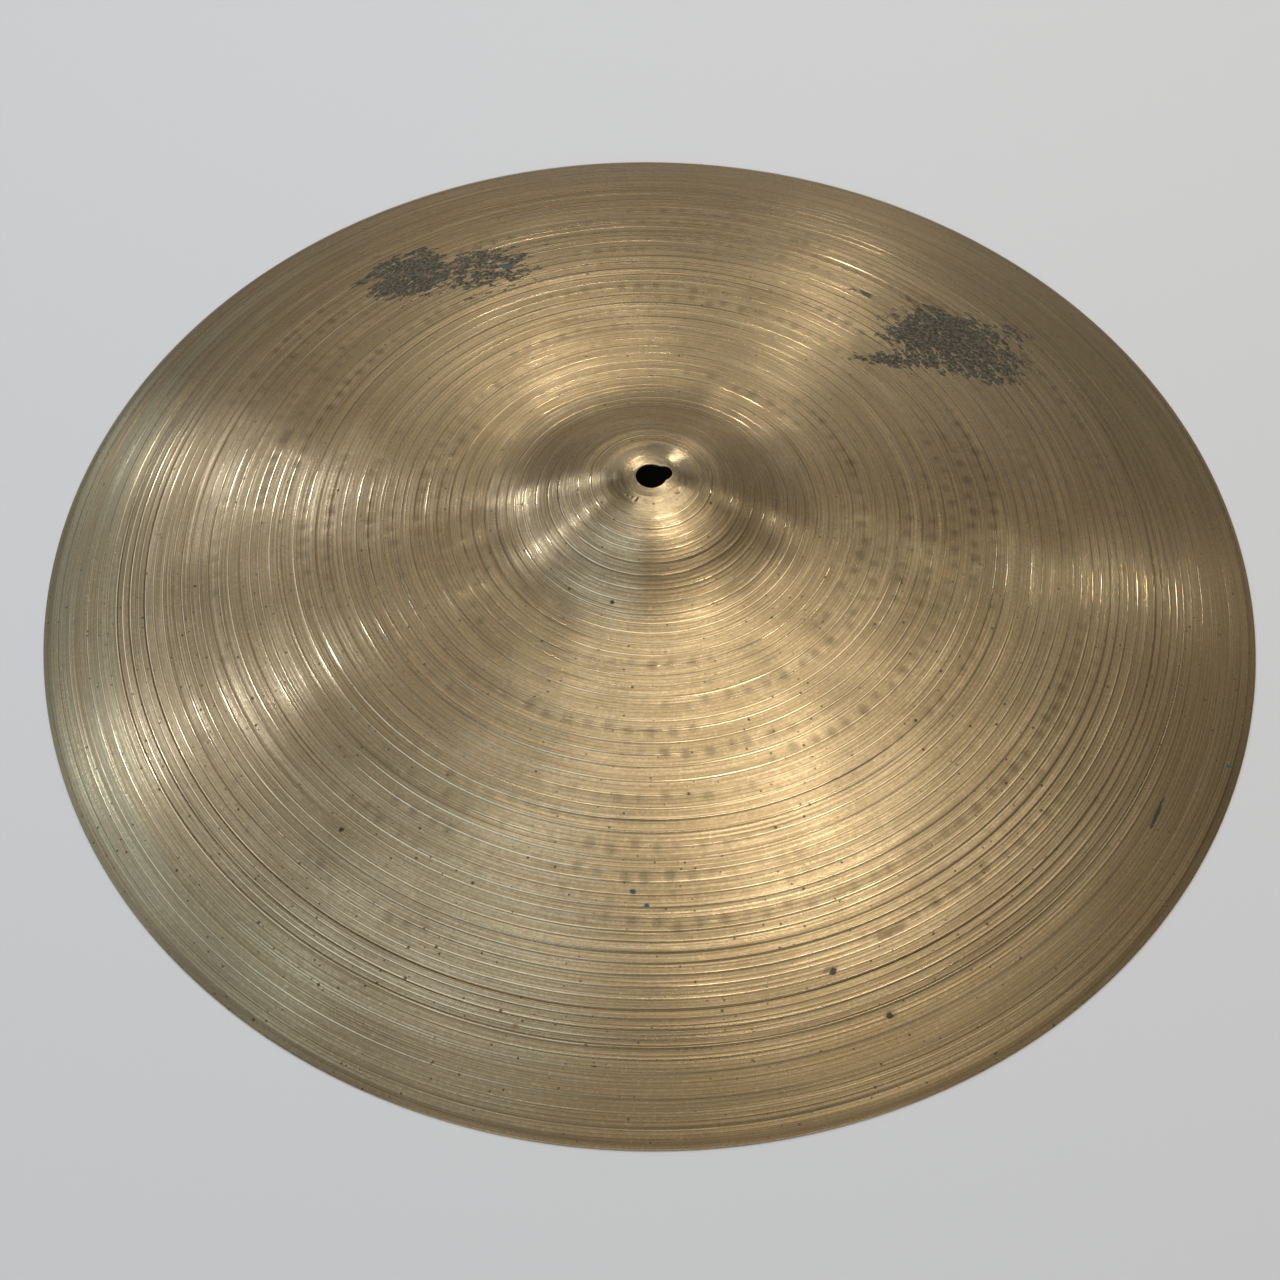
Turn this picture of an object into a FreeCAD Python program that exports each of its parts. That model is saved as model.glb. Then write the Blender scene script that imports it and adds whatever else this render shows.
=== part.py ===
"""Ride cymbal, 20 inch, one disc of cast and lathed bell bronze.

The profile is one closed sketch in the X-Z plane, turned about the Z axis.
From the axis outwards it has a flat felt seat, the domed crown of the bell,
the hollow foot that runs out of the bell, and the long bow down to the edge.
Units are millimetres. +Z points up through the bell, and the origin is on
the axis, level with the lowest point of the edge.
"""

import FreeCAD, Part
import math
import os

import Sketcher

NODE = "cymbal"

# Driving dimensions: name, value, what it is.
DIMENSIONS = [
    ("edge_diameter", 508.0, "diameter over the edge, 20 inches"),
    ("overall_height", 50.5, "edge to the top of the bell"),
    ("bow_height", 30.5, "edge to the outer face where the bow starts"),
    ("bell_diameter", 148.0, "diameter where the bell's foot meets the bow"),
    ("crown_radius", 82.0, "radius of the bell's dome, outer face"),
    ("seat_diameter", 22.0, "flat around the hole for the felt"),
    ("hole_diameter", 12.2, "mounting hole"),
    ("bell_thickness", 1.7, "metal thickness over the bell"),
    ("edge_thickness", 0.9, "metal thickness at the edge"),
    ("lip_radius", 0.25, "rounding of the hole's two rims"),
    ("wear_radius", 3.6, "radius of the notch that the stand's rod has worn"),
    ("wear_offset", 5.1, "distance of the notch's centre from the axis"),
    ("wear_angle", 18.0, "direction of the notch from +X, degrees"),
]

AXIS_Z = FreeCAD.Vector(0, 0, 1)
ORIGIN = -1
V_AXIS = -2
START = 1
END = 2
CENTRE = 3


def make_sheet(doc):
    """Write the driving dimensions to a spreadsheet, one aliased cell each."""
    sheet = doc.addObject("Spreadsheet::Sheet", "Dimensions")
    for row, (name, value, meaning) in enumerate(DIMENSIONS, start=1):
        sheet.set(f"A{row}", name)
        sheet.set(f"B{row}", str(value))
        sheet.set(f"C{row}", meaning)
        sheet.setAlias(f"B{row}", name)
    doc.recompute()
    return sheet


def origin_plane(body, role):
    """Return one of the body's own origin planes by its role."""
    for feature in body.Origin.OriginFeatures:
        if feature.Role == role:
            return feature
    raise ValueError(f"{body.Name} has no origin feature {role}")


def new_sketch(body, role, name):
    """Add an empty sketch on one of the body's origin planes."""
    sketch = body.newObject("Sketcher::SketchObject", name)
    sketch.AttachmentSupport = (origin_plane(body, role), "")
    sketch.MapMode = "FlatFace"
    return sketch


def arc(centre, radius, start, end):
    """Anticlockwise arc between two directions, in radians."""
    circle = Part.Circle(FreeCAD.Vector(*centre, 0), AXIS_Z, radius)
    return Part.ArcOfCircle(circle, start, end)


def line(start, end):
    """Straight line between two points of the sketch plane."""
    return Part.LineSegment(FreeCAD.Vector(*start, 0), FreeCAD.Vector(*end, 0))


def bow_radius(sheet, depth, side):
    """Radius of a bow arc that leaves the foot level and meets the round edge.

    depth is the metal thickness under the outer face where the arc starts.
    side is -1 where the edge's round lies inside the arc, and 1 where it
    lies outside.
    """
    rim = sheet.edge_thickness / 2
    reach = (sheet.edge_diameter - sheet.bell_diameter) / 2 - rim
    drop = sheet.bow_height - depth - rim
    return (reach**2 + drop**2 - rim**2) / (2 * (drop + side * rim))


def foot_radius(sheet, crown_z):
    """Radius of the foot's outer face, tangent to the crown and level at its end."""
    reach = sheet.bell_diameter / 2
    rise = sheet.bow_height - crown_z
    return (reach**2 + rise**2 - sheet.crown_radius**2) / (2 * (sheet.crown_radius - rise))


def draw_profile(sketch, sheet):
    """Draw the half section at its true place, then pin it with constraints."""
    thickness = sheet.bell_thickness
    top = sheet.overall_height
    hole = sheet.hole_diameter / 2
    seat = sheet.seat_diameter / 2
    foot_x = sheet.bell_diameter / 2
    rim = sheet.edge_thickness / 2
    level = math.pi / 2

    crown_z = top - math.sqrt(sheet.crown_radius**2 - seat**2)
    foot_r = foot_radius(sheet, crown_z)
    foot_z = sheet.bow_height + foot_r
    join = math.atan2(foot_z - crown_z, foot_x)
    seat_angle = math.acos(seat / sheet.crown_radius)

    outer_r = bow_radius(sheet, 0, -1)
    inner_r = bow_radius(sheet, thickness, 1)
    outer_z = sheet.bow_height - outer_r
    inner_z = sheet.bow_height - thickness - inner_r
    rim_x = sheet.edge_diameter / 2 - rim
    outer_end = math.atan2(rim - outer_z, rim_x - foot_x)
    inner_end = math.atan2(rim - inner_z, rim_x - foot_x)
    inner_crown_r = sheet.crown_radius - thickness
    under_angle = math.asin((top - thickness - crown_z) / inner_crown_r)
    under_x = inner_crown_r * math.cos(under_angle)

    pieces = {
        "seat_top": line((hole, top), (seat, top)),
        "crown_outer": arc((0, crown_z), sheet.crown_radius, join, seat_angle),
        "foot_outer": arc((foot_x, foot_z), foot_r, join + math.pi, -level),
        "bow_outer": arc((foot_x, outer_z), outer_r, outer_end, level),
        "rim": arc((rim_x, rim), rim, inner_end - math.pi, outer_end),
        "bow_inner": arc((foot_x, inner_z), inner_r, inner_end, level),
        "foot_inner": arc((foot_x, foot_z), foot_r + thickness, join + math.pi, -level),
        "crown_inner": arc((0, crown_z), inner_crown_r, join, under_angle),
        "seat_under": line((under_x, top - thickness), (hole, top - thickness)),
        "bore": line((hole, top - thickness), (hole, top)),
    }
    number = {}
    for name, piece in pieces.items():
        number[name] = sketch.addGeometry(piece, False)

    corners = [
        ("seat_top", END, "crown_outer", END),
        ("crown_inner", END, "seat_under", START),
        ("seat_under", END, "bore", START),
        ("bore", END, "seat_top", START),
    ]
    for first, first_end, second, second_end in corners:
        sketch.addConstraint(
            Sketcher.Constraint("Coincident", number[first], first_end, number[second], second_end)
        )

    smooth = [
        ("crown_outer", START, "foot_outer", START),
        ("foot_outer", END, "bow_outer", END),
        ("bow_outer", START, "rim", END),
        ("rim", START, "bow_inner", START),
        ("bow_inner", END, "foot_inner", END),
        ("foot_inner", START, "crown_inner", START),
    ]
    for first, first_end, second, second_end in smooth:
        sketch.addConstraint(
            Sketcher.Constraint("Tangent", number[first], first_end, number[second], second_end)
        )

    for name in ("seat_top", "seat_under"):
        sketch.addConstraint(Sketcher.Constraint("Horizontal", number[name]))
    sketch.addConstraint(Sketcher.Constraint("Vertical", number["bore"]))
    sketch.addConstraint(
        Sketcher.Constraint("PointOnObject", number["crown_outer"], CENTRE, V_AXIS)
    )
    for outer, inner in (("crown_outer", "crown_inner"), ("foot_outer", "foot_inner")):
        sketch.addConstraint(
            Sketcher.Constraint("Coincident", number[outer], CENTRE, number[inner], CENTRE)
        )
    for name in ("foot_outer", "bow_inner"):
        sketch.addConstraint(
            Sketcher.Constraint("Vertical", number[name], CENTRE, number[name], END)
        )

    def place(kind, name, value, *where):
        """Add a named size that follows the spreadsheet."""
        index = sketch.addConstraint(Sketcher.Constraint(kind, *where, value))
        sketch.renameConstraint(index, name)

    place("DistanceX", "hole_radius", hole, ORIGIN, START, number["seat_top"], START)
    place("DistanceX", "seat_radius", seat, ORIGIN, START, number["seat_top"], END)
    place("DistanceY", "height", top, ORIGIN, START, number["seat_top"], START)
    place("DistanceY", "thickness", thickness, number["bore"], START, number["bore"], END)
    place("Radius", "crown", sheet.crown_radius, number["crown_outer"])
    place("DistanceX", "bell_radius", foot_x, ORIGIN, START, number["foot_outer"], END)
    place("DistanceY", "bow_start", sheet.bow_height, ORIGIN, START, number["foot_outer"], END)
    place("Radius", "rim_round", rim, number["rim"])
    place("DistanceX", "rim_reach", rim_x, ORIGIN, START, number["rim"], CENTRE)
    place("DistanceY", "rim_level", rim, ORIGIN, START, number["rim"], CENTRE)
    place("Radius", "crown_under", inner_crown_r, number["crown_inner"])

    formulas = {
        "hole_radius": "Dimensions.hole_diameter / 2",
        "seat_radius": "Dimensions.seat_diameter / 2",
        "height": "Dimensions.overall_height",
        "thickness": "Dimensions.bell_thickness",
        "crown": "Dimensions.crown_radius",
        "bell_radius": "Dimensions.bell_diameter / 2",
        "bow_start": "Dimensions.bow_height",
        "rim_round": "Dimensions.edge_thickness / 2",
        "rim_reach": "(Dimensions.edge_diameter - Dimensions.edge_thickness) / 2",
        "rim_level": "Dimensions.edge_thickness / 2",
        "crown_under": "Dimensions.crown_radius - Dimensions.bell_thickness",
    }
    for name, formula in formulas.items():
        sketch.setExpression(f"Constraints.{name}", formula)


def turn_disc(doc, body, sheet):
    """Turn the profile once round the Z axis."""
    sketch = new_sketch(body, "XZ_Plane", "Profile")
    draw_profile(sketch, sheet)
    doc.recompute()
    disc = body.newObject("PartDesign::Revolution", "Disc")
    disc.Profile = sketch
    disc.ReferenceAxis = (sketch, ["V_Axis"])
    disc.Angle = 360
    sketch.Visibility = False
    doc.recompute()
    return disc


def cut_wear_notch(doc, body, sheet, disc):
    """Cut the notch that has turned the round hole into a keyhole."""
    sketch = new_sketch(body, "XY_Plane", "WearNotch")
    angle = math.radians(sheet.wear_angle)
    centre = FreeCAD.Vector(
        sheet.wear_offset * math.cos(angle), sheet.wear_offset * math.sin(angle), 0
    )
    circle = sketch.addGeometry(Part.Circle(centre, AXIS_Z, sheet.wear_radius), False)
    sizes = [
        ("DistanceX", "notch_x", centre.x, (ORIGIN, START, circle, CENTRE),
         "Dimensions.wear_offset * cos(Dimensions.wear_angle * 1 deg)"),
        ("DistanceY", "notch_y", centre.y, (ORIGIN, START, circle, CENTRE),
         "Dimensions.wear_offset * sin(Dimensions.wear_angle * 1 deg)"),
        ("Radius", "notch_radius", sheet.wear_radius, (circle,), "Dimensions.wear_radius"),
    ]
    for kind, name, value, where, formula in sizes:
        index = sketch.addConstraint(Sketcher.Constraint(kind, *where, value))
        sketch.renameConstraint(index, name)
        sketch.setExpression(f"Constraints.{name}", formula)
    doc.recompute()

    notch = body.newObject("PartDesign::Pocket", "Notch")
    notch.Profile = sketch
    notch.Type = "ThroughAll"
    notch.Reversed = True
    sketch.Visibility = False
    doc.recompute()
    if notch.Shape.Volume >= disc.Shape.Volume:
        raise ValueError("the wear notch removed no metal")
    return notch


def round_hole_lips(doc, body, sheet, notch):
    """Round the hole's upper and lower rims, worn smooth by felts and rod."""
    reach = sheet.seat_diameter / 2 - sheet.lip_radius
    names = []
    for number, edge in enumerate(notch.Shape.Edges, start=1):
        box = edge.BoundBox
        near_hole = max(abs(box.XMin), abs(box.XMax), abs(box.YMin), abs(box.YMax)) < reach
        flat = box.ZLength < sheet.lip_radius / 10
        if near_hole and flat:
            names.append(f"Edge{number}")
    lips = body.newObject("PartDesign::Fillet", "Lips")
    lips.Base = (notch, names)
    lips.setExpression("Radius", "Dimensions.lip_radius")
    doc.recompute()
    return lips


def make_cymbal(doc, sheet):
    """Build the cymbal as one PartDesign body."""
    body = doc.addObject("PartDesign::Body", "Cymbal")
    body.Label = NODE
    body.Placement = FreeCAD.Placement()
    disc = turn_disc(doc, body, sheet)
    notch = cut_wear_notch(doc, body, sheet, disc)
    body.Tip = round_hole_lips(doc, body, sheet, notch)
    doc.recompute()
    return body


def check(doc, body):
    """Stop if anything in the document failed, or the solid isn't sound."""
    for item in doc.Objects:
        if "Invalid" in item.State or "Error" in item.State:
            raise ValueError(f"{item.Name} failed: {item.State}")
    for item in doc.Objects:
        if item.TypeId == "Sketcher::SketchObject" and item.solve() != 0:
            raise ValueError(f"{item.Name} does not solve")
    shape = body.Shape
    if shape.isNull() or not shape.isValid() or len(shape.Solids) != 1:
        raise ValueError(f"{body.Label} is not one valid solid")


def main():
    doc = FreeCAD.newDocument("RideCymbal")
    sheet = make_sheet(doc)
    body = make_cymbal(doc, sheet)
    check(doc, body)
    box = body.Shape.optimalBoundingBox(False)
    print(f"{body.Label}: {box.XLength:.2f} x {box.YLength:.2f} x {box.ZLength:.2f} mm,"
          f" {body.Shape.Volume / 1000:.1f} cm3")
    os.makedirs("parts", exist_ok=True)
    body.Shape.exportStep(os.path.join("parts", f"{body.Label}.step"))


main()
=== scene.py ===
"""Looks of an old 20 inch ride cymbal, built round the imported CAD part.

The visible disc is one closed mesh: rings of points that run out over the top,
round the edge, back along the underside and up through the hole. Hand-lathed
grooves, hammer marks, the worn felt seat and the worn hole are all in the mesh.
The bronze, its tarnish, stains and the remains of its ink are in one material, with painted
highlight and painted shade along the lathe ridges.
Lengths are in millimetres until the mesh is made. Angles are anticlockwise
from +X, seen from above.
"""

import math

import bpy
import numpy as np
from mathutils import Euler, Matrix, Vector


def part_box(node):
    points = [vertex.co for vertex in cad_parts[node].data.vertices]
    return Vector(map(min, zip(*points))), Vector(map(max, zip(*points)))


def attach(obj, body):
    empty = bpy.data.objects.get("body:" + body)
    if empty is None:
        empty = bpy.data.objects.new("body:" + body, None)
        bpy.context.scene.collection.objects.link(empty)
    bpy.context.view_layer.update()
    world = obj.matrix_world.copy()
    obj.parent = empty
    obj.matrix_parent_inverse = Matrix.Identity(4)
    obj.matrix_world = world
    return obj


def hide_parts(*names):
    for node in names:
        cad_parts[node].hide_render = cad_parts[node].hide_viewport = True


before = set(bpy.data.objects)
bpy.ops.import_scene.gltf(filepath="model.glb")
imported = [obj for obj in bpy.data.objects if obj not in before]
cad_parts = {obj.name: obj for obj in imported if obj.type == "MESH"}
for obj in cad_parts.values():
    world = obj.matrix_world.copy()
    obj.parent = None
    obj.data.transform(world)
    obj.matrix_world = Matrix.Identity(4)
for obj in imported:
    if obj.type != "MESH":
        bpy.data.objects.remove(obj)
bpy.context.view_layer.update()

MM = 0.001
NODE = "cymbal"
SEED = 20
LOW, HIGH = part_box(NODE)

# The section of the disc, as in the CAD part.
EDGE_R = (HIGH.x - LOW.x) / 2 / MM
TOP_Z = HIGH.z / MM
BOW_Z = 30.5
BELL_R = 74.0
CROWN_RADIUS = 82.0
SEAT_R = 11.0
HOLE_R = 6.1
BELL_THICKNESS = 1.7
EDGE_THICKNESS = 0.9
NOTCH_R = 3.6
NOTCH_OFFSET = 5.1
NOTCH_ANGLE = math.radians(18)
NOTCH_SHARP = 6.0

# How finely the mesh is divided.
SEGMENTS = 640
SEAT_RINGS = 34
UNDER_SEAT_RINGS = 16
EDGE_STEPS = 7
LIP_STEPS = 4
LIP = 0.4

# Lathe work: outer radius of each zone, with the pitch and depth of its passes.
TOP_ZONES = [
    (70, 4.35, 0.115),
    (118, 4.7, 0.105),
    (160, 5.0, 0.115),
    (200, 4.15, 0.110),
    (224, 3.6, 0.085),
    (254, 4.2, 0.020),
]
UNDER_ZONES = [
    (70, 4.6, 0.08),
    (254, 5.2, 0.09),
]
LATHE_START = 20.5
LATHE_STOP = 251.0
# How far passes differ, as shares of their zone's pitch and depth.
PASS_WIDTHS = (0.83, 1.17)
PASS_DEPTHS = (0.4, 1.6)
# A ridge between two passes: half its width at the foot and at its shoulder,
# and how high the shoulder stands, as a share of the ridge.
RIDGE_OUT = 0.70
RIDGE_IN = 0.32
SHOULDER = 0.35
# A line of the feed in a pass: half its width, its height, and its polish
# against a ridge's, which also sets how much painted highlight it gets.
FEED_HALF = 0.26
FEED_HEIGHT = 0.032
FEED_SHINE = 0.5
# How far feed lines differ in height, stray from even spacing and wander in height.
FEED_HEIGHTS = (0.2, 1.8)
FEED_STRAY = 0.12
FEED_WANDER = 0.4
# A pass's tilt, as a share of its width, and how far its depth wanders round the
# disc, as a share of the depth. Both are spreads.
TRACK_TILT = 0.030
TRACK_WANDER = 0.17
# Slow waves round the disc: lowest number of waves, one past the highest, how many.
TRACK_WAVES = ((1, 12), 5)
FEED_WAVES = ((2, 30), 6)
FORCE_WAVES = ((1, 7), 4)
# A ridge's polish, which also sets its painted highlight, is the least one plus the depth of its
# pass over this depth, up to 1.
LEAST_POLISH = 0.4
POLISH_DEPTH = 0.05

# Hammer marks, in rings, and the slow waves that they leave. A mark strays from its
# ring by a spread, and is cut off at a reach, in its own lengths and widths.
HAMMER_START = 78.0
HAMMER_STOP = 206.0
HAMMER_RING_PITCH = 9.5
HAMMER_PITCH = 8.2
HAMMER_DEPTH = 0.055
HAMMER_LENGTH = 2.3
HAMMER_WIDTH = 2.6
HAMMER_STRAY = 0.7
HAMMER_REACH = 3
# How far marks differ in depth and rings in pitch, as shares of theirs, and how
# unevenly the marks of a ring follow each other, as a share of their pitch.
MARK_DEPTHS = (0.6, 1.1)
RING_PITCHES = (0.85, 1.15)
PITCH_STRAY = 0.1
# How hard the hammer fell round a ring: mean, size of the waves, least and most.
FORCE_MEAN = 0.60
FORCE_SPREAD = 0.6
FORCE_LIMITS = (0.08, 1.2)
# The slow waves: how many, their height, length and number round the disc, and the
# radii over which they fade in and out.
WAVES = 16
WAVE_HEIGHTS = (0.01, 0.04)
WAVE_LENGTHS = (30, 90)
WAVE_ORDERS = (3, 24)
WAVES_FADE_IN = (25, 80)
WAVES_FADE_OUT = (235, 253)

# The felt seat: how far it is worn down, and the ring of dings round the hole.
SEAT_WEAR = 0.12
SEAT_WORN_R = 16.0
SEAT_EDGE_R = 20.0
DINGS = 22
DING_R = 13.2
DING_STRAY = 0.45
DING_FROM = math.radians(-150)
DING_TO = math.radians(-30)
DING_DEPTH = 0.10
# Half length and half width of a ding, and how far dings differ in depth.
DING_LENGTHS = (0.4, 1.1)
DING_WIDTHS = (0.35, 0.55)
DING_DEPTHS = (0.3, 1)


# ---------------------------------------------------------------- the section

def bow_radius(depth, side):
    """Radius of a bow arc that leaves the foot level and meets the round edge."""
    rim = EDGE_THICKNESS / 2
    reach = EDGE_R - BELL_R - rim
    drop = BOW_Z - depth - rim
    return (reach**2 + drop**2 - rim**2) / (2 * (drop + side * rim))


CROWN_Z = TOP_Z - math.sqrt(CROWN_RADIUS**2 - SEAT_R**2)
FOOT_RISE = BOW_Z - CROWN_Z
FOOT_GAP = BELL_R**2 + FOOT_RISE**2 - CROWN_RADIUS**2
FOOT_RADIUS = FOOT_GAP / (2 * (CROWN_RADIUS - FOOT_RISE))
FOOT_Z = BOW_Z + FOOT_RADIUS
JOIN = math.atan2(FOOT_Z - CROWN_Z, BELL_R)


def face_height(r, depth, bow):
    """Height of the face that lies depth under the outer one, at radius r."""
    crown = CROWN_RADIUS - depth
    foot = FOOT_RADIUS + depth
    level = BOW_Z - depth
    dome = CROWN_Z + np.sqrt(np.maximum(crown**2 - r**2, 0))
    hollow = FOOT_Z - np.sqrt(np.maximum(foot**2 - (r - BELL_R) ** 2, 0))
    bow_face = level - bow + np.sqrt(np.maximum(bow**2 - (r - BELL_R) ** 2, 0))
    height = np.where(r < crown * math.cos(JOIN), np.minimum(dome, TOP_Z - depth), hollow)
    return np.where(r > BELL_R, bow_face, height)


def outer_height(r):
    return face_height(r, 0, bow_radius(0, -1))


def inner_height(r):
    return face_height(r, BELL_THICKNESS, bow_radius(BELL_THICKNESS, 1))


def smooth_step(low, high, value):
    x = np.clip((value - low) / (high - low), 0, 1)
    return x * x * (3 - 2 * x)


# ------------------------------------------------------------------ tool marks

def slow_waves(rng, theta, orders, count):
    """A smooth closed wave round the disc, about 1 high."""
    wave = np.zeros_like(theta)
    for _ in range(count):
        wave += np.cos(rng.integers(*orders) * theta + rng.uniform(0, 2 * math.pi))
    return wave / math.sqrt(count)


def track_stations(rng, width, feeds):
    """Stations across one pass: offset, share of the ridge and of a feed line."""
    stations = [(0, 1, 0), (RIDGE_IN, SHOULDER, 0), (RIDGE_OUT, 0, 0)]
    for feed in range(1, feeds + 1):
        middle = width * (feed + rng.uniform(-FEED_STRAY, FEED_STRAY)) / (feeds + 1)
        stations += [(middle - FEED_HALF, 0, 0), (middle, 0, 1), (middle + FEED_HALF, 0, 0)]
    return stations + [(width - RIDGE_OUT, 0, 0), (width - RIDGE_IN, SHOULDER, 0)]


def lathe_rings(rng, theta, zones, feeds):
    """Radii of the rings over the lathed part, the metal turned away, and the ridges.

    Each pass of the tool leaves a nearly flat track between two narrow ridges,
    with lower lines of the feed in it. The ridges fade in and out round the disc.
    """
    radii = []
    cuts = []
    shines = []
    radius = LATHE_START
    while radius < LATHE_STOP:
        pitch, depth = next((p, d) for stop, p, d in zones if radius < stop)
        width = pitch * rng.uniform(*PASS_WIDTHS)
        if LATHE_STOP - radius < width + pitch / 2:
            width = LATHE_STOP - radius
        depth *= rng.uniform(*PASS_DEPTHS)
        tilt = rng.normal(0, TRACK_TILT) * width
        wander = 1 + TRACK_WANDER * slow_waves(rng, theta, *TRACK_WAVES)
        sharpness = np.clip(2 * wander - 1, 0, 1) * min(1, LEAST_POLISH + depth / POLISH_DEPTH)
        for offset, ridge, feed in track_stations(rng, width, feeds):
            line = FEED_HEIGHT * rng.uniform(*FEED_HEIGHTS) * feed
            line = line * (1 + FEED_WANDER * slow_waves(rng, theta, *FEED_WAVES))
            flat = (depth + tilt * (offset / width - 0.5)) * (1 - ridge)
            radii.append(radius + offset)
            cuts.append(flat * wander - line)
            shines.append((ridge + FEED_SHINE * feed) * sharpness)
        radius += width
    return np.array(radii), np.maximum(np.array(cuts), 0), np.array(shines)


def hammer_marks(rng, radii, theta):
    """Depth of the hammer marks left on the rings: rows of small soft dents."""
    depth = np.zeros((len(radii), len(theta)))
    step = theta[1] - theta[0]
    row = HAMMER_START
    while row < HAMMER_STOP:
        count = round(2 * math.pi * row / HAMMER_PITCH)
        phase = rng.uniform(0, 2 * math.pi)
        force = FORCE_MEAN + FORCE_SPREAD * slow_waves(rng, theta, *FORCE_WAVES)
        force = np.clip(force, *FORCE_LIMITS)
        for number in range(count):
            centre = row + rng.normal(0, HAMMER_STRAY)
            angle = phase + (number + rng.normal(0, PITCH_STRAY)) * 2 * math.pi / count
            size = HAMMER_DEPTH * rng.uniform(*MARK_DEPTHS) * force[int(angle / step) % len(theta)]
            near = np.flatnonzero(np.abs(radii - centre) < HAMMER_REACH * HAMMER_WIDTH)
            reach = int(HAMMER_REACH * HAMMER_LENGTH / (centre * step)) + 1
            middle = int(round(angle / step))
            columns = np.arange(middle - reach, middle + reach + 1)
            along = (columns * step - angle) * centre / HAMMER_LENGTH
            across = (radii[near] - centre) / HAMMER_WIDTH
            dent = size * np.exp(-(across[:, None] ** 2 + along[None, :] ** 2))
            depth[near[:, None], (columns % len(theta))[None, :]] += dent
        row += HAMMER_RING_PITCH * rng.uniform(*RING_PITCHES)
    return depth


def undulation(rng, radii, theta):
    """The slight unevenness that hammering leaves over the whole disc."""
    height = np.zeros((len(radii), len(theta)))
    for _ in range(WAVES):
        length = rng.uniform(*WAVE_LENGTHS)
        across = np.sin(2 * math.pi * radii / length + rng.uniform(0, 2 * math.pi))
        around = np.cos(rng.integers(*WAVE_ORDERS) * theta + rng.uniform(0, 2 * math.pi))
        height += rng.uniform(*WAVE_HEIGHTS) * across[:, None] * around[None, :]
    fade = smooth_step(*WAVES_FADE_IN, radii) * (1 - smooth_step(*WAVES_FADE_OUT, radii))
    return height * fade[:, None]


def seat_dings(rng, radii, theta):
    """Depth of the short bites that nuts and washers have left round the hole."""
    depth = np.zeros_like(radii)
    for _ in range(DINGS):
        angle = rng.uniform(DING_FROM, DING_TO)
        ring = DING_R + rng.normal(0, DING_STRAY)
        turned = (theta - angle + math.pi) % (2 * math.pi) - math.pi
        along = turned * ring / rng.uniform(*DING_LENGTHS)
        across = (radii - ring) / rng.uniform(*DING_WIDTHS)
        size = DING_DEPTH * rng.uniform(*DING_DEPTHS)
        depth += size * np.exp(-(along[None, :] ** 2) - across**2)
    return depth


# -------------------------------------------------------------------- the mesh

def hole_outline(theta):
    """Distance from the axis to the wall of the worn hole."""
    turn = theta - NOTCH_ANGLE
    inside = np.maximum(NOTCH_R**2 - (NOTCH_OFFSET * np.sin(turn)) ** 2, 0)
    notch = np.where(inside > 0, NOTCH_OFFSET * np.cos(turn) + np.sqrt(inside), 0)
    return HOLE_R + np.log1p(np.exp((notch - HOLE_R) * NOTCH_SHARP)) / NOTCH_SHARP


def seat_radii(hole, last, count):
    """Rings between the hole's lip and the lathed part, eased to true circles."""
    along = np.linspace(0, 1, count, endpoint=False)[:, None]
    return hole[None, :] + LIP + (last - hole[None, :] - LIP) * along


def unmarked(r, z):
    """Stations with no ridge and no dent."""
    return r, z, np.zeros_like(r), np.zeros_like(r)


def make_points():
    """Points of the closed mesh, with how much each is a ridge and how much a dent."""
    rng = np.random.default_rng(SEED)
    theta = np.arange(SEGMENTS) * 2 * math.pi / SEGMENTS
    hole = hole_outline(theta)
    level = np.zeros(SEGMENTS)

    radii, top_cut, top_ridge = lathe_rings(rng, theta, TOP_ZONES, 2)
    dents = hammer_marks(rng, radii, theta)
    dent_share = np.clip(dents / HAMMER_DEPTH, 0, 1)
    top_r = radii[:, None] + level
    top_z = outer_height(top_r) - top_cut - dents + undulation(rng, radii, theta)

    seat_r = seat_radii(hole, radii[0], SEAT_RINGS)
    seat_cut = SEAT_WEAR * (1 - smooth_step(SEAT_WORN_R, SEAT_EDGE_R, seat_r))
    seat_z = outer_height(seat_r) - seat_cut - seat_dings(rng, seat_r, theta)

    under_radii, under_cut, under_ridge = lathe_rings(rng, theta, UNDER_ZONES, 1)
    under_dents = hammer_marks(rng, under_radii, theta)
    under_r = under_radii[:, None] + level
    under_z = inner_height(under_r) + under_cut + under_dents
    under_seat_r = seat_radii(hole, under_radii[0], UNDER_SEAT_RINGS)
    under_seat_z = inner_height(under_seat_r)

    rim = EDGE_THICKNESS / 2
    slope = math.atan2(bow_radius(0, -1) - BOW_Z + rim, EDGE_R - rim - BELL_R)
    turn = np.linspace(slope, slope - math.pi, EDGE_STEPS)[:, None]
    edge_r = EDGE_R - rim + rim * np.cos(turn) + level
    edge_z = rim + rim * np.sin(turn) + level

    lip = np.linspace(0, math.pi / 2, LIP_STEPS + 1)[:, None]
    lip_r = hole + LIP * (1 - np.cos(lip))
    upper_z = TOP_Z - SEAT_WEAR - LIP * (1 - np.sin(lip)) + level
    lower_z = TOP_Z - BELL_THICKNESS + LIP * (1 - np.sin(lip)) + level

    stations = [
        unmarked(seat_r, seat_z),
        (top_r, top_z, top_ridge, dent_share),
        unmarked(edge_r, edge_z),
        (under_r[::-1], under_z[::-1], under_ridge[::-1], np.zeros_like(under_r)),
        unmarked(under_seat_r[::-1], under_seat_z[::-1]),
        unmarked(lip_r[::-1][1:], lower_z[::-1][1:]),
        unmarked(lip_r[:-1], upper_z[:-1]),
    ]
    r, z, ridge, dent = (np.concatenate(groups) for groups in zip(*stations))
    points = np.stack([r * np.cos(theta), r * np.sin(theta), z], axis=-1) * MM
    return points, ridge, dent


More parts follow.
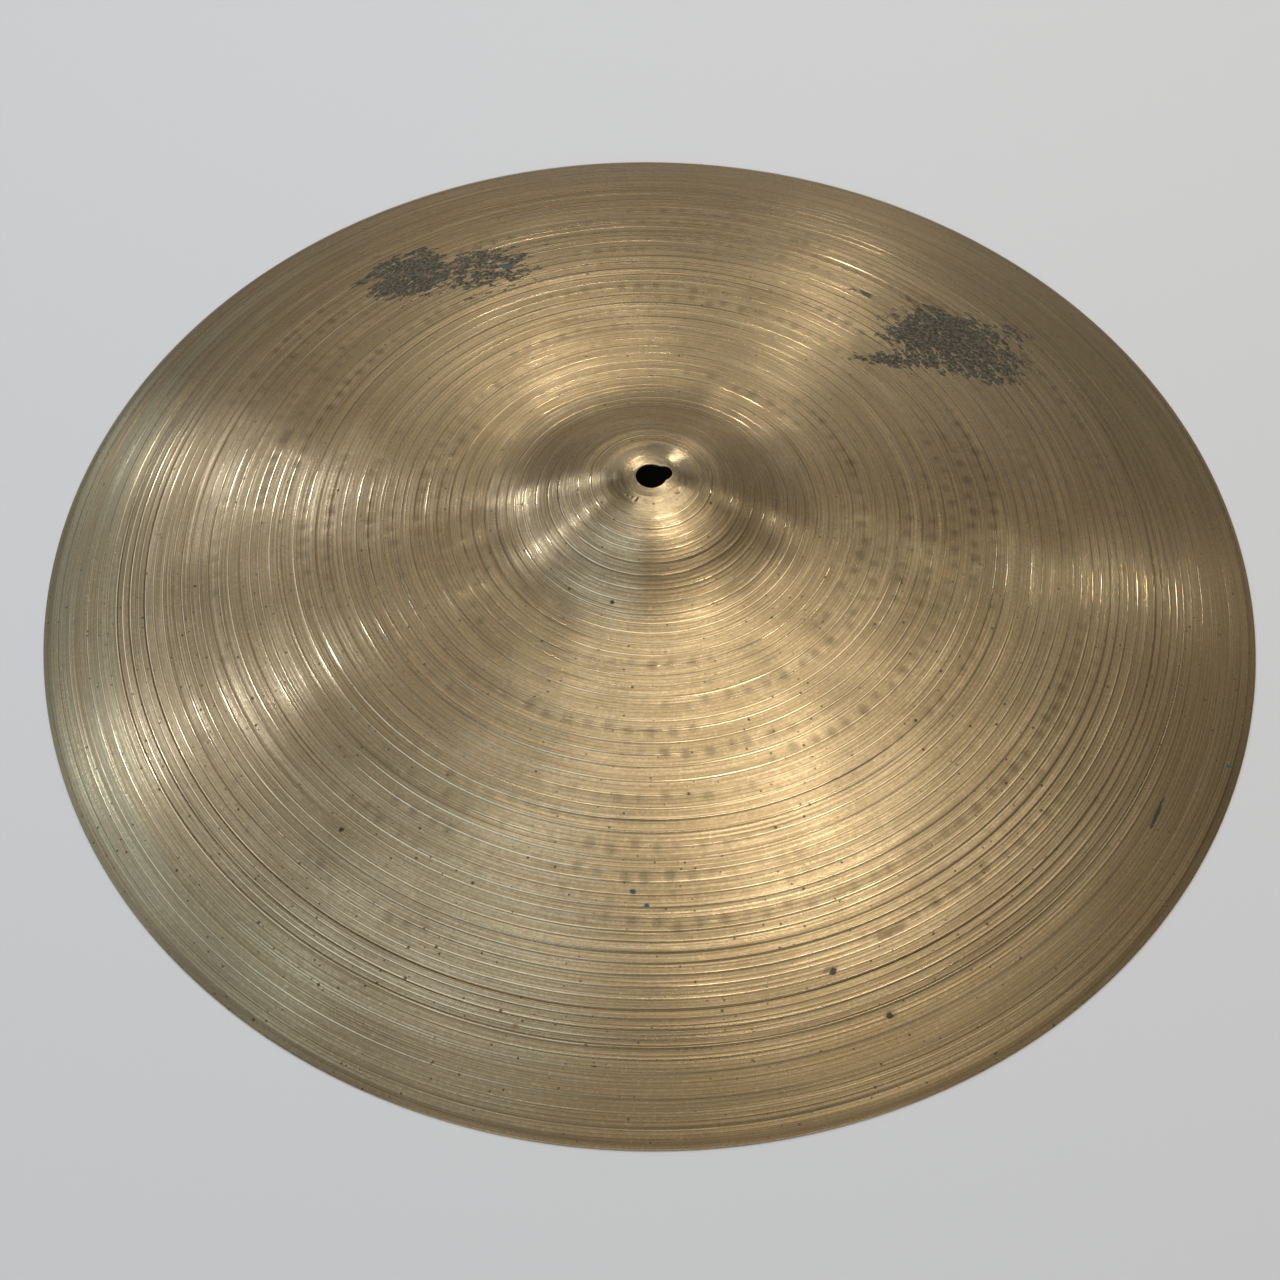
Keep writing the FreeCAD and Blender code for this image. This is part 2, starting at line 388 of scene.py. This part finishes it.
def closed_grid(name, points):
    """A mesh of quads over a grid of points that closes on itself both ways."""
    rows, columns = points.shape[:2]
    index = np.arange(rows * columns).reshape(rows, columns)
    ahead = np.roll(index, -1, axis=0)
    beside = np.roll(index, -1, axis=1)
    corner = np.roll(ahead, -1, axis=1)
    faces = np.stack([index, ahead, corner, beside], axis=-1).reshape(-1, 4)
    mesh = bpy.data.meshes.new(name)
    mesh.from_pydata(points.reshape(-1, 3), [], faces)
    mesh.polygons.foreach_set("use_smooth", np.ones(len(faces), bool))
    mesh.update()
    return mesh


def add_attribute(mesh, name, values):
    attribute = mesh.attributes.new(name, "FLOAT", "POINT")
    attribute.data.foreach_set("value", values.reshape(-1).astype(np.float32))


def make_disc():
    points, ridge, dent = make_points()
    mesh = closed_grid("cymbal_disc", points)
    add_attribute(mesh, "ridge", ridge)
    add_attribute(mesh, "dent", dent)
    disc = bpy.data.objects.new("cymbal_disc", mesh)
    bpy.context.scene.collection.objects.link(disc)
    return disc


# ------------------------------------------------------------------- materials

class Nodes:
    """Short names for the shader nodes that the materials use."""

    def __init__(self, name):
        self.material = bpy.data.materials.new(name)
        self.material.use_nodes = True
        self.tree = self.material.node_tree
        self.shader = self.tree.nodes["Principled BSDF"]

    def node(self, kind, **settings):
        made = self.tree.nodes.new(kind)
        for key, value in settings.items():
            setattr(made, key, value)
        return made

    def plug(self, socket, value):
        if isinstance(value, bpy.types.NodeSocket):
            self.tree.links.new(value, socket)
        elif value is not None:
            socket.default_value = value

    def math(self, operation, a, b=None, c=None):
        made = self.node("ShaderNodeMath", operation=operation)
        for socket, value in zip(made.inputs, (a, b, c)):
            self.plug(socket, value)
        return made.outputs[0]

    def vector(self, x, y, z):
        made = self.node("ShaderNodeCombineXYZ")
        for socket, value in zip(made.inputs, (x, y, z)):
            self.plug(socket, value)
        return made.outputs[0]

    def noise(self, vector, scale, detail, roughness):
        made = self.node("ShaderNodeTexNoise")
        self.plug(made.inputs["Vector"], vector)
        self.plug(made.inputs["Scale"], scale)
        self.plug(made.inputs["Detail"], detail)
        self.plug(made.inputs["Roughness"], roughness)
        return made.outputs["Fac"]

    def ramp(self, value, low, high, start=0.0, end=1.0):
        """Smooth change from start to end as value goes from low to high."""
        made = self.node("ShaderNodeMapRange", interpolation_type="SMOOTHSTEP")
        for socket, number in zip(made.inputs, (value, low, high, start, end)):
            self.plug(socket, number)
        return made.outputs[0]

    def product(self, *factors):
        result = factors[0]
        for factor in factors[1:]:
            result = self.math("MULTIPLY", result, factor)
        return result

    def largest(self, *values):
        result = values[0]
        for value in values[1:]:
            result = self.math("MAXIMUM", result, value)
        return result

    def ellipse(self, flat, centre, half_sizes, turn=0.0):
        """Distance from a place on the disc, which is 1 on the outline of an ellipse."""
        made = self.node("ShaderNodeMapping", vector_type="TEXTURE")
        made.inputs["Location"].default_value = (*centre, 0)
        made.inputs["Rotation"].default_value = (0, 0, math.radians(turn))
        made.inputs["Scale"].default_value = (*half_sizes, 1)
        self.plug(made.inputs["Vector"], flat)
        length = self.node("ShaderNodeVectorMath", operation="LENGTH")
        self.plug(length.inputs[0], made.outputs[0])
        return length.outputs["Value"]

    def spots(self, flat, spacing, size, share):
        """Round spots strewn over the disc: a share of the places, at a mean spacing."""
        made = self.node("ShaderNodeTexVoronoi", voronoi_dimensions="2D")
        self.plug(made.inputs["Vector"], flat)
        self.plug(made.inputs["Scale"], 1 / spacing)
        pick = self.node("ShaderNodeSeparateColor")
        self.plug(pick.inputs[0], made.outputs["Color"])
        kept = self.math("LESS_THAN", pick.outputs[0], share)
        reach = self.math("MULTIPLY_ADD", pick.outputs[1], size / spacing, 0.3 * size / spacing)
        near = self.math("DIVIDE", made.outputs["Distance"], reach)
        return self.product(kept, self.ramp(near, 0.55, 1.0, 1.0, 0.0))

    def mix(self, factor, a, b):
        """Colour a, with b laid over it as far as the factor says."""
        made = self.node("ShaderNodeMix", data_type="RGBA")
        self.plug(made.inputs["Factor"], factor)
        self.plug(made.inputs["A"], a)
        self.plug(made.inputs["B"], b)
        return made.outputs["Result"]


def rgb(red, green, blue):
    return (red, green, blue, 1.0)


BRONZE = rgb(0.50, 0.365, 0.195)
BRONZE_WORN = rgb(0.66, 0.50, 0.285)
BRONZE_DULL = rgb(0.34, 0.245, 0.125)
BRONZE_SEAT = rgb(0.44, 0.345, 0.20)
# Ridge tops: worn bronze with a painted highlight.
CREST_WEAR_AND_HIGHLIGHT = rgb(0.82, 0.66, 0.42)
# Dirt in the scores, and painted shade beside the ridges.
GROOVE_DIRT_AND_SHADE = rgb(0.13, 0.092, 0.045)
DENT_DIRT = rgb(0.17, 0.125, 0.065)
VERDIGRIS = rgb(0.26, 0.30, 0.20)
STAIN = rgb(0.20, 0.135, 0.07)
SPECK = rgb(0.055, 0.038, 0.025)
INK = rgb(0.028, 0.022, 0.009)
INK_PALE = rgb(0.125, 0.102, 0.056)
TEAL = rgb(0.035, 0.080, 0.070)

# Bands of the finish, by radius: where each starts and where it is full.
RIM_DULL = (190, 240)
SEAT_RUBBED = (21.0, 15.5)
LIP_WORN = (9.5, 7.2)
RIM_GREEN = (205, 245)
# The verdigris lies on the left, which this direction from the axis points to.
GREEN_SIDE = (-0.95, -0.1)

# Remains of old ink: centre, half sizes, turn in degrees, and how much is left.
INK_PATCHES = [
    ((-112, 148), (30, 28), 0, 0.64),
    ((-80, 150), (36, 27), 12, 0.545),
    ((134, 107), (37, 31), -18, 0.65),
    ((150, 96), (28, 24), -30, 0.60),
    ((107, 88), (24, 6.5), 2, 0.60),
    ((163, 110), (20, 28), -20, 0.50),
    ((97, 135), (11, 3.2), -15, 0.58),
]
# Single marks: centre, half sizes, turn in degrees.
STAINS = [
    ((63, -195), (5.0, 1.6), 20),
    ((84, -209), (2.6, 2.2), 0),
    ((86, -181), (9.0, 2.2), 24),
    ((166, -193), (6.0, 2.5), 40),
    ((103, 41), (3.0, 2.0), 0),
    ((130, 32), (3.5, 2.0), 0),
    ((10, -250), (2.0, 1.6), 0),
    ((-15, -244), (1.8, 1.4), 0),
    ((-46, -215), (2.2, 1.5), 0),
]
PITS = [
    ((64.5, -195.5), (1.9, 1.2), 30),
    ((84, -209.5), (1.4, 1.1), 0),
    ((192, -129), (0.9, 9.5), -29),
    ((-15, -51), (0.9, 0.8), 0),
    ((-113, -144), (1.3, 1.1), 0),
]
TEAL_DOTS = [
    ((-68, 151), (3.6, 2.4), 10),
    ((-6, -169), (1.3, 1.1), 0),
    ((-1, -174), (1.1, 1.0), 0),
    ((226, -105), (1.6, 1.2), 0),
]


def bronze_material():
    n = Nodes("bell_bronze")
    place = n.node("ShaderNodeTexCoord").outputs["Object"]
    scaled = n.node("ShaderNodeVectorMath", operation="SCALE")
    n.plug(scaled.inputs[0], place)
    n.plug(scaled.inputs["Scale"], 1 / MM)
    at = scaled.outputs[0]
    split = n.node("ShaderNodeSeparateXYZ")
    n.plug(split.inputs[0], at)
    x, y, _ = split.outputs
    flat = n.vector(x, y, 0.0)
    radius = n.math("SQRT", n.math("ADD", n.product(x, x), n.product(y, y)))
    cosine = n.math("DIVIDE", x, radius)
    sine = n.math("DIVIDE", y, radius)
    facing = n.node("ShaderNodeSeparateXYZ")
    n.plug(facing.inputs[0], n.node("ShaderNodeNewGeometry").outputs["True Normal"])
    on_top = n.ramp(facing.outputs["Z"], -0.1, 0.1)
    ridge = n.node("ShaderNodeAttribute", attribute_name="ridge").outputs["Fac"]
    dent = n.node("ShaderNodeAttribute", attribute_name="dent").outputs["Fac"]

    def rings(around, across, seed):
        """Coordinates in which noise is drawn out along the circles of the lathe."""
        return n.vector(
            n.math("MULTIPLY_ADD", cosine, around, seed),
            n.math("MULTIPLY", sine, around),
            n.math("MULTIPLY", radius, across),
        )

    # Tarnish in clouds, worn streaks along the lathe lines, and a fine mottle.
    clouds = n.noise(at, 0.012, 3, 0.6)
    colour = n.mix(n.ramp(clouds, 0.38, 0.68), BRONZE, BRONZE_DULL)
    colour = n.mix(n.ramp(radius, *RIM_DULL, 0.0, 0.4), colour, BRONZE_DULL)
    streaks = n.noise(rings(2.0, 0.16, 3.0), 1.0, 3, 0.6)
    colour = n.mix(n.ramp(streaks, 0.48, 0.78, 0.0, 0.6), colour, BRONZE_WORN)
    mottle = n.noise(at, 0.75, 3, 0.65)
    colour = n.mix(n.ramp(mottle, 0.42, 0.68, 0.0, 0.50), colour, BRONZE_DULL)
    colour = n.mix(n.ramp(mottle, 0.50, 0.32, 0.0, 0.40), colour, BRONZE_WORN)
    lines = n.noise(rings(1.4, 1.0, 9.0), 1.0, 3, 0.7)
    colour = n.mix(n.ramp(lines, 0.50, 0.30, 0.0, 0.50), colour, BRONZE_WORN)
    colour = n.mix(n.ramp(lines, 0.50, 0.70, 0.0, 0.45), colour, BRONZE_DULL)
    scores = n.noise(rings(0.9, 1.7, 21.0), 1.0, 2, 0.6)
    score = n.ramp(scores, 0.62, 0.70)
    colour = n.mix(n.math("MULTIPLY", score, 0.60), colour, GROOVE_DIRT_AND_SHADE)

    # Dirt lies in the hammer marks and, with painted shade, beside the ridges; the ridge tops are
    # worn clean and carry a painted highlight.
    lathed = n.ramp(radius, SEAT_EDGE_R, LATHE_START + 0.3)
    # Painted shade, with some dirt, on the flanks beside the ridges.
    beside = n.product(n.ramp(ridge, 0.02, 0.15), n.ramp(ridge, 0.5, 0.25))
    colour = n.mix(n.math("MULTIPLY", beside, 0.42), colour, GROOVE_DIRT_AND_SHADE)
    # Painted highlight on the ridge tops, which are also worn bright.
    crest_wear_and_highlight = n.ramp(ridge, 0.35, 0.9)
    colour = n.mix(n.math("MULTIPLY", crest_wear_and_highlight, 0.48), colour, CREST_WEAR_AND_HIGHLIGHT)
    skipped = n.product(n.ramp(dent, 0.1, 1.0), n.ramp(clouds, 0.32, 0.55, 0.25, 1.0), on_top)
    colour = n.mix(n.math("MULTIPLY", skipped, 0.60), colour, DENT_DIRT)

    # The felt seat is rubbed smooth, with a dull ring where the felt ends.
    seat = n.ramp(radius, *SEAT_RUBBED)
    rubbed = n.noise(at, 0.22, 3, 0.6)
    colour = n.mix(n.product(seat, n.ramp(rubbed, 0.35, 0.6, 0.35, 0.85)), colour, BRONZE_SEAT)
    colour = n.mix(n.product(seat, n.ramp(rubbed, 0.52, 0.68, 0.0, 0.5)), colour, BRONZE_DULL)
    lip = n.ramp(radius, *LIP_WORN)
    colour = n.mix(n.math("MULTIPLY", lip, 0.5), colour, BRONZE_WORN)

    # A little verdigris along the circles near the left edge.
    along_x = n.math("MULTIPLY", cosine, GREEN_SIDE[0])
    along_y = n.math("MULTIPLY", sine, GREEN_SIDE[1])
    left = n.ramp(n.math("ADD", along_x, along_y), 0.45, 0.95)
    green = n.product(n.ramp(radius, *RIM_GREEN), left, n.ramp(streaks, 0.35, 0.65, 0.2, 1.0))
    colour = n.mix(n.math("MULTIPLY", green, 0.42), colour, VERDIGRIS)

    # Stains, pits and specks.
    ragged = n.noise(at, 0.55, 3, 0.7)
    shift = n.math("MULTIPLY_ADD", ragged, 1.6, -0.8)

    def marks(places, soft):
        found = 0.0
        for centre, half_sizes, turn in places:
            distance = n.math("ADD", n.ellipse(flat, centre, half_sizes, turn), shift)
            found = n.largest(found, n.ramp(distance, 1.0, 1.0 - soft))
        return n.product(found, on_top)

    stain = marks(STAINS, 0.8)
    colour = n.mix(n.math("MULTIPLY", stain, 0.6), colour, STAIN)
    pit = marks(PITS, 0.3)
    colour = n.mix(pit, colour, SPECK)
    specks = n.largest(
        n.spots(flat, 11.0, 0.62, 0.40),
        n.product(n.spots(flat, 5.0, 0.44, 0.30), n.ramp(y, 60, -60, 0.3, 1.0)),
    )
    colour = n.mix(n.math("MULTIPLY", specks, 0.75), colour, SPECK)
    halo = n.spots(flat, 14.0, 1.5, 0.45)
    colour = n.mix(n.math("MULTIPLY", halo, 0.22), colour, STAIN)

    # What is left of two old patches of ink, broken along the lathe lines.
    flakes = n.noise(rings(34.0, 0.40, 40.0), 1.0, 3, 0.7)
    holes = n.math("MULTIPLY_ADD", mottle, 0.3, n.math("SUBTRACT", flakes, 0.16))
    torn = n.noise(rings(11.0, 0.20, 60.0), 1.0, 3, 0.6)
    torn = n.math("MULTIPLY_ADD", torn, 1.5, -0.75)
    ink = 0.0
    for centre, half_sizes, turn, left_over in INK_PATCHES:
        distance = n.math("ADD", n.ellipse(flat, centre, half_sizes, turn), torn)
        inside = n.ramp(distance, 1.15, 0.35, 0.4, 1.0)
        keep = n.math("SUBTRACT", n.math("MULTIPLY", inside, left_over), holes)
        ink = n.largest(ink, n.ramp(keep, 0.0, 0.03))
    ink = n.product(ink, on_top)
    colour = n.mix(ink, colour, n.mix(n.ramp(mottle, 0.42, 0.58), INK, INK_PALE))
    teal = marks(TEAL_DOTS, 0.3)
    colour = n.mix(teal, colour, TEAL)

    n.plug(n.shader.inputs["Base Color"], colour)
    # Ink, teal dots and pits are not bare metal.
    cover = n.largest(
        n.math("MULTIPLY", ink, 0.85),
        n.math("MULTIPLY", teal, 0.9),
        n.math("MULTIPLY", pit, 0.7),
    )
    n.plug(n.shader.inputs["Metallic"], n.math("SUBTRACT", 1.0, cover))

    rough = n.ramp(clouds, 0.3, 0.7, 0.31, 0.37)
    rough = n.math("ADD", rough, n.ramp(mottle, 0.35, 0.7, -0.015, 0.025))
    rough = n.math("ADD", rough, n.ramp(lines, 0.3, 0.7, -0.08, 0.04))
    rough = n.math("SUBTRACT", rough, n.math("MULTIPLY", crest_wear_and_highlight, 0.21))
    rough = n.math("SUBTRACT", rough, n.math("MULTIPLY", seat, 0.11))
    rough = n.math("ADD", rough, n.math("MULTIPLY", n.largest(cover, stain, specks), 0.22))
    n.plug(n.shader.inputs["Roughness"], rough)
    n.shader.inputs["Anisotropic"].default_value = 0.8
    n.shader.inputs["Anisotropic Rotation"].default_value = 0.25
    tangent = n.node("ShaderNodeTangent", direction_type="RADIAL", axis="Z")
    n.plug(n.shader.inputs["Tangent"], tangent.outputs[0])

    # Hair lines of the lathe, too fine for the mesh.
    hair = n.noise(rings(0.8, 2.4, 5.0), 1.0, 2, 0.6)
    height = n.product(hair, lathed)
    bump = n.node("ShaderNodeBump")
    bump.inputs["Strength"].default_value = 0.6
    bump.inputs["Distance"].default_value = 0.0001
    n.plug(bump.inputs["Height"], height)
    n.plug(n.shader.inputs["Normal"], bump.outputs[0])
    return n.material


def floor_material():
    n = Nodes("pale_floor")
    n.shader.inputs["Base Color"].default_value = rgb(0.80, 0.79, 0.77)
    n.shader.inputs["Roughness"].default_value = 1.0
    n.shader.inputs["Specular IOR Level"].default_value = 0.0
    return n.material


# ----------------------------------------------------------------------- stage

FLOOR_HALF = 12.0


def make_floor():
    mesh = bpy.data.meshes.new("floor")
    half = FLOOR_HALF
    corners = [(-half, -half, 0), (half, -half, 0), (half, half, 0), (-half, half, 0)]
    mesh.from_pydata(corners, [], [(0, 1, 2, 3)])
    floor = bpy.data.objects.new("floor", mesh)
    bpy.context.scene.collection.objects.link(floor)
    mesh.materials.append(floor_material())
    return floor


def panel(name, place, size, brightness, colour):
    """A soft light panel at a place in metres, which faces straight down."""
    light = bpy.data.lights.new(name, "AREA")
    light.shape = "RECTANGLE"
    light.size, light.size_y = size
    light.energy = brightness * size[0] * size[1]
    light.color = colour
    holder = bpy.data.objects.new(name, light)
    holder.location = place
    bpy.context.scene.collection.objects.link(holder)
    return holder


WARM = (1.0, 0.96, 0.90)
WHITE = (1.0, 1.0, 1.0)
COOL = (0.70, 0.80, 1.0)
SKY = (0.60, 0.76, 1.0)
# How bright a panel is, in watts per square metre.
FAINT = 1.2
SOFT = 4.0
STRONG = 28.0
LAMP = 90.0
# Height of the ceiling panels.
CEILING = 2.0
# Panels that face straight down: place and size in metres, brightness, colour.
CEILING_PANELS = [
    ("key_panel", (0.4, 0.8, CEILING), (1.4, 1.0), SOFT, WHITE),
    ("key_core", (0.4, 0.45, CEILING), (0.6, 0.7), STRONG, WARM),
    ("left_of_key_panel", (-0.85, -0.2, CEILING), (1.4, 1.0), SOFT, SKY),
    ("back_panel", (0.0, 2.9, CEILING), (3.6, 1.6), FAINT, COOL),
    ("left_panel", (-2.3, 1.0, CEILING), (1.4, 2.6), SOFT, COOL),
]
# Panels that face the cymbal, in the same terms.
AIMED_PANELS = [
    ("front_wall_panel", (0.0, -3.0, 1.4), (4.0, 1.2), SOFT, WHITE),
    ("left_spot", (-1.8, 2.2, CEILING), (0.25, 0.25), LAMP, COOL),
    ("near_left_spot", (-1.7, 0.75, CEILING), (0.18, 0.18), LAMP, COOL),
    ("right_spot", (2.0, 1.6, CEILING), (0.12, 0.12), LAMP, WHITE),
    ("back_right_spot", (0.6, 2.8, CEILING), (0.18, 0.18), LAMP, WARM),
    ("back_left_spot", (-0.15, 1.95, CEILING), (0.13, 0.13), LAMP, WARM),
]
ROOM_COLOUR = rgb(1.0, 0.97, 0.92)
ROOM_STRENGTH = 0.16


def make_lights():
    world = bpy.data.worlds.new("room")
    world.use_nodes = True
    background = world.node_tree.nodes["Background"]
    background.inputs["Color"].default_value = ROOM_COLOUR
    background.inputs["Strength"].default_value = ROOM_STRENGTH
    bpy.context.scene.world = world
    for settings in CEILING_PANELS:
        panel(*settings)
    for settings in AIMED_PANELS:
        holder = panel(*settings)
        holder.rotation_euler = (-holder.location).to_track_quat("-Z", "Y").to_euler()


# Place in metres, pitch down and roll in degrees, lens and sensor in millimetres.
CAMERA_PLACE = (-0.004, -0.404, 0.530)
CAMERA_PITCH = 55.95
CAMERA_ROLL = 0.4
CAMERA_LENS = 43.6
SENSOR_WIDTH = 36


def make_camera():
    data = bpy.data.cameras.new("camera")
    data.lens = CAMERA_LENS
    data.sensor_width = SENSOR_WIDTH
    data.clip_start = 0.01
    camera = bpy.data.objects.new("camera", data)
    camera.location = CAMERA_PLACE
    tilt = Euler((math.radians(90 - CAMERA_PITCH), 0, 0)).to_matrix()
    camera.rotation_euler = (tilt @ Matrix.Rotation(math.radians(CAMERA_ROLL), 3, "Z")).to_euler()
    bpy.context.scene.collection.objects.link(camera)
    bpy.context.scene.camera = camera


def main():
    bpy.context.scene.view_settings.view_transform = "Standard"
    disc = make_disc()
    disc.data.materials.append(bronze_material())
    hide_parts(NODE)
    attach(disc, "root")
    make_floor()
    make_lights()
    make_camera()


main()
